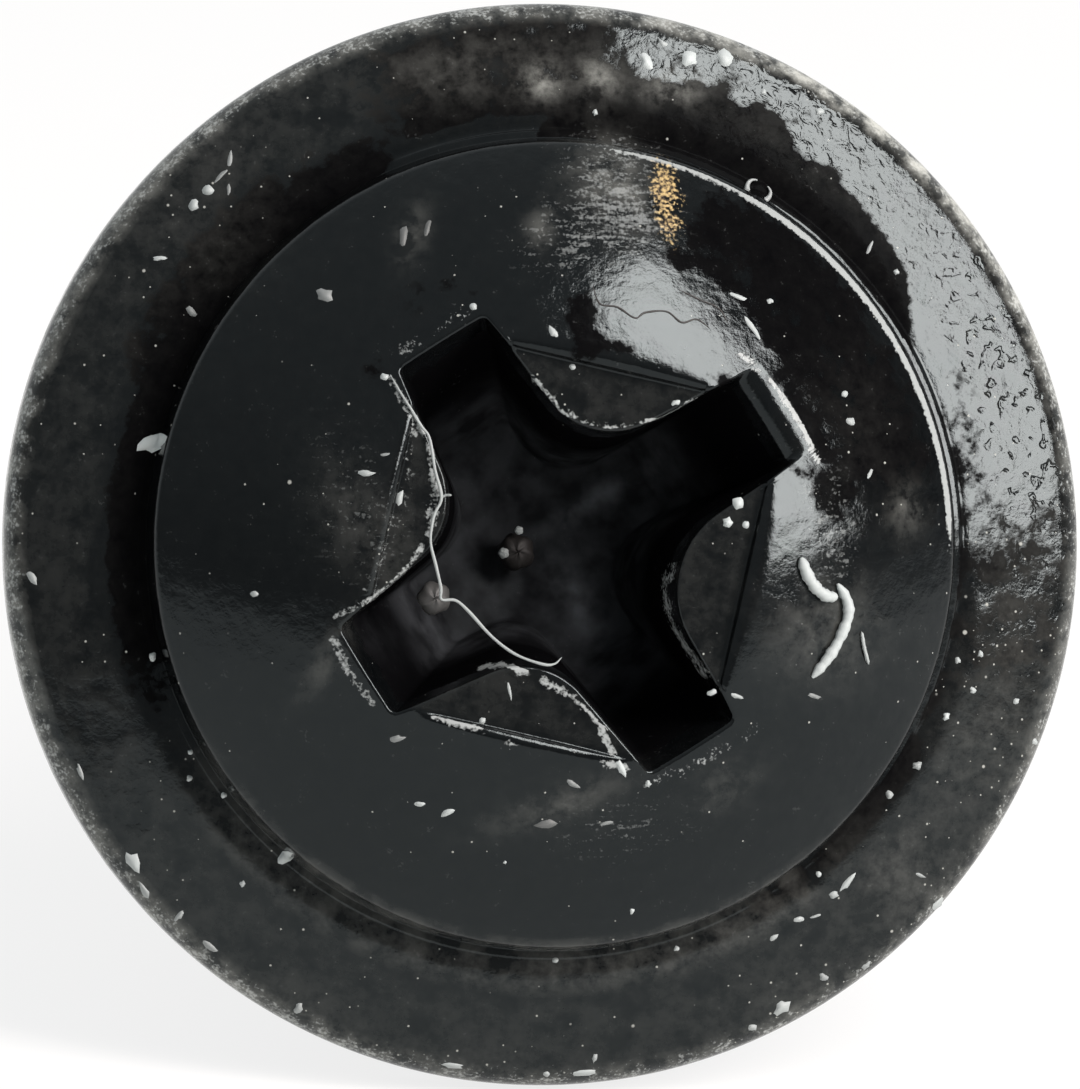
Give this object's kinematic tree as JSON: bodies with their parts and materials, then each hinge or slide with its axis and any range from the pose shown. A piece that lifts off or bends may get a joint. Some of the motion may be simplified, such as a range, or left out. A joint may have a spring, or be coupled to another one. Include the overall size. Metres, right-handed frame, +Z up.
{
  "type": "self-tapping screw",
  "caption": "Self-tapping screw with a domed pan head on a wide round collar, a cross recess, a coarse thread and a sharp point.",
  "frame": {"origin": "on the surface the screw lies on, under the middle of its box in X and Y", "axes": "+Y is the way the point lies, -Y the way the head faces, +Z is up; the screw's axis lies in the YZ plane, its point low and its head tilted up by about 17.6 degrees"},
  "size_m": [0.01, 0.0152, 0.0096],
  "materials": {
    "screw": "black plated steel, glossy, scuffed and dusty from use"
  },
  "bodies": {
    "root": {"screw": "screw"}
  },
  "joints": []
}
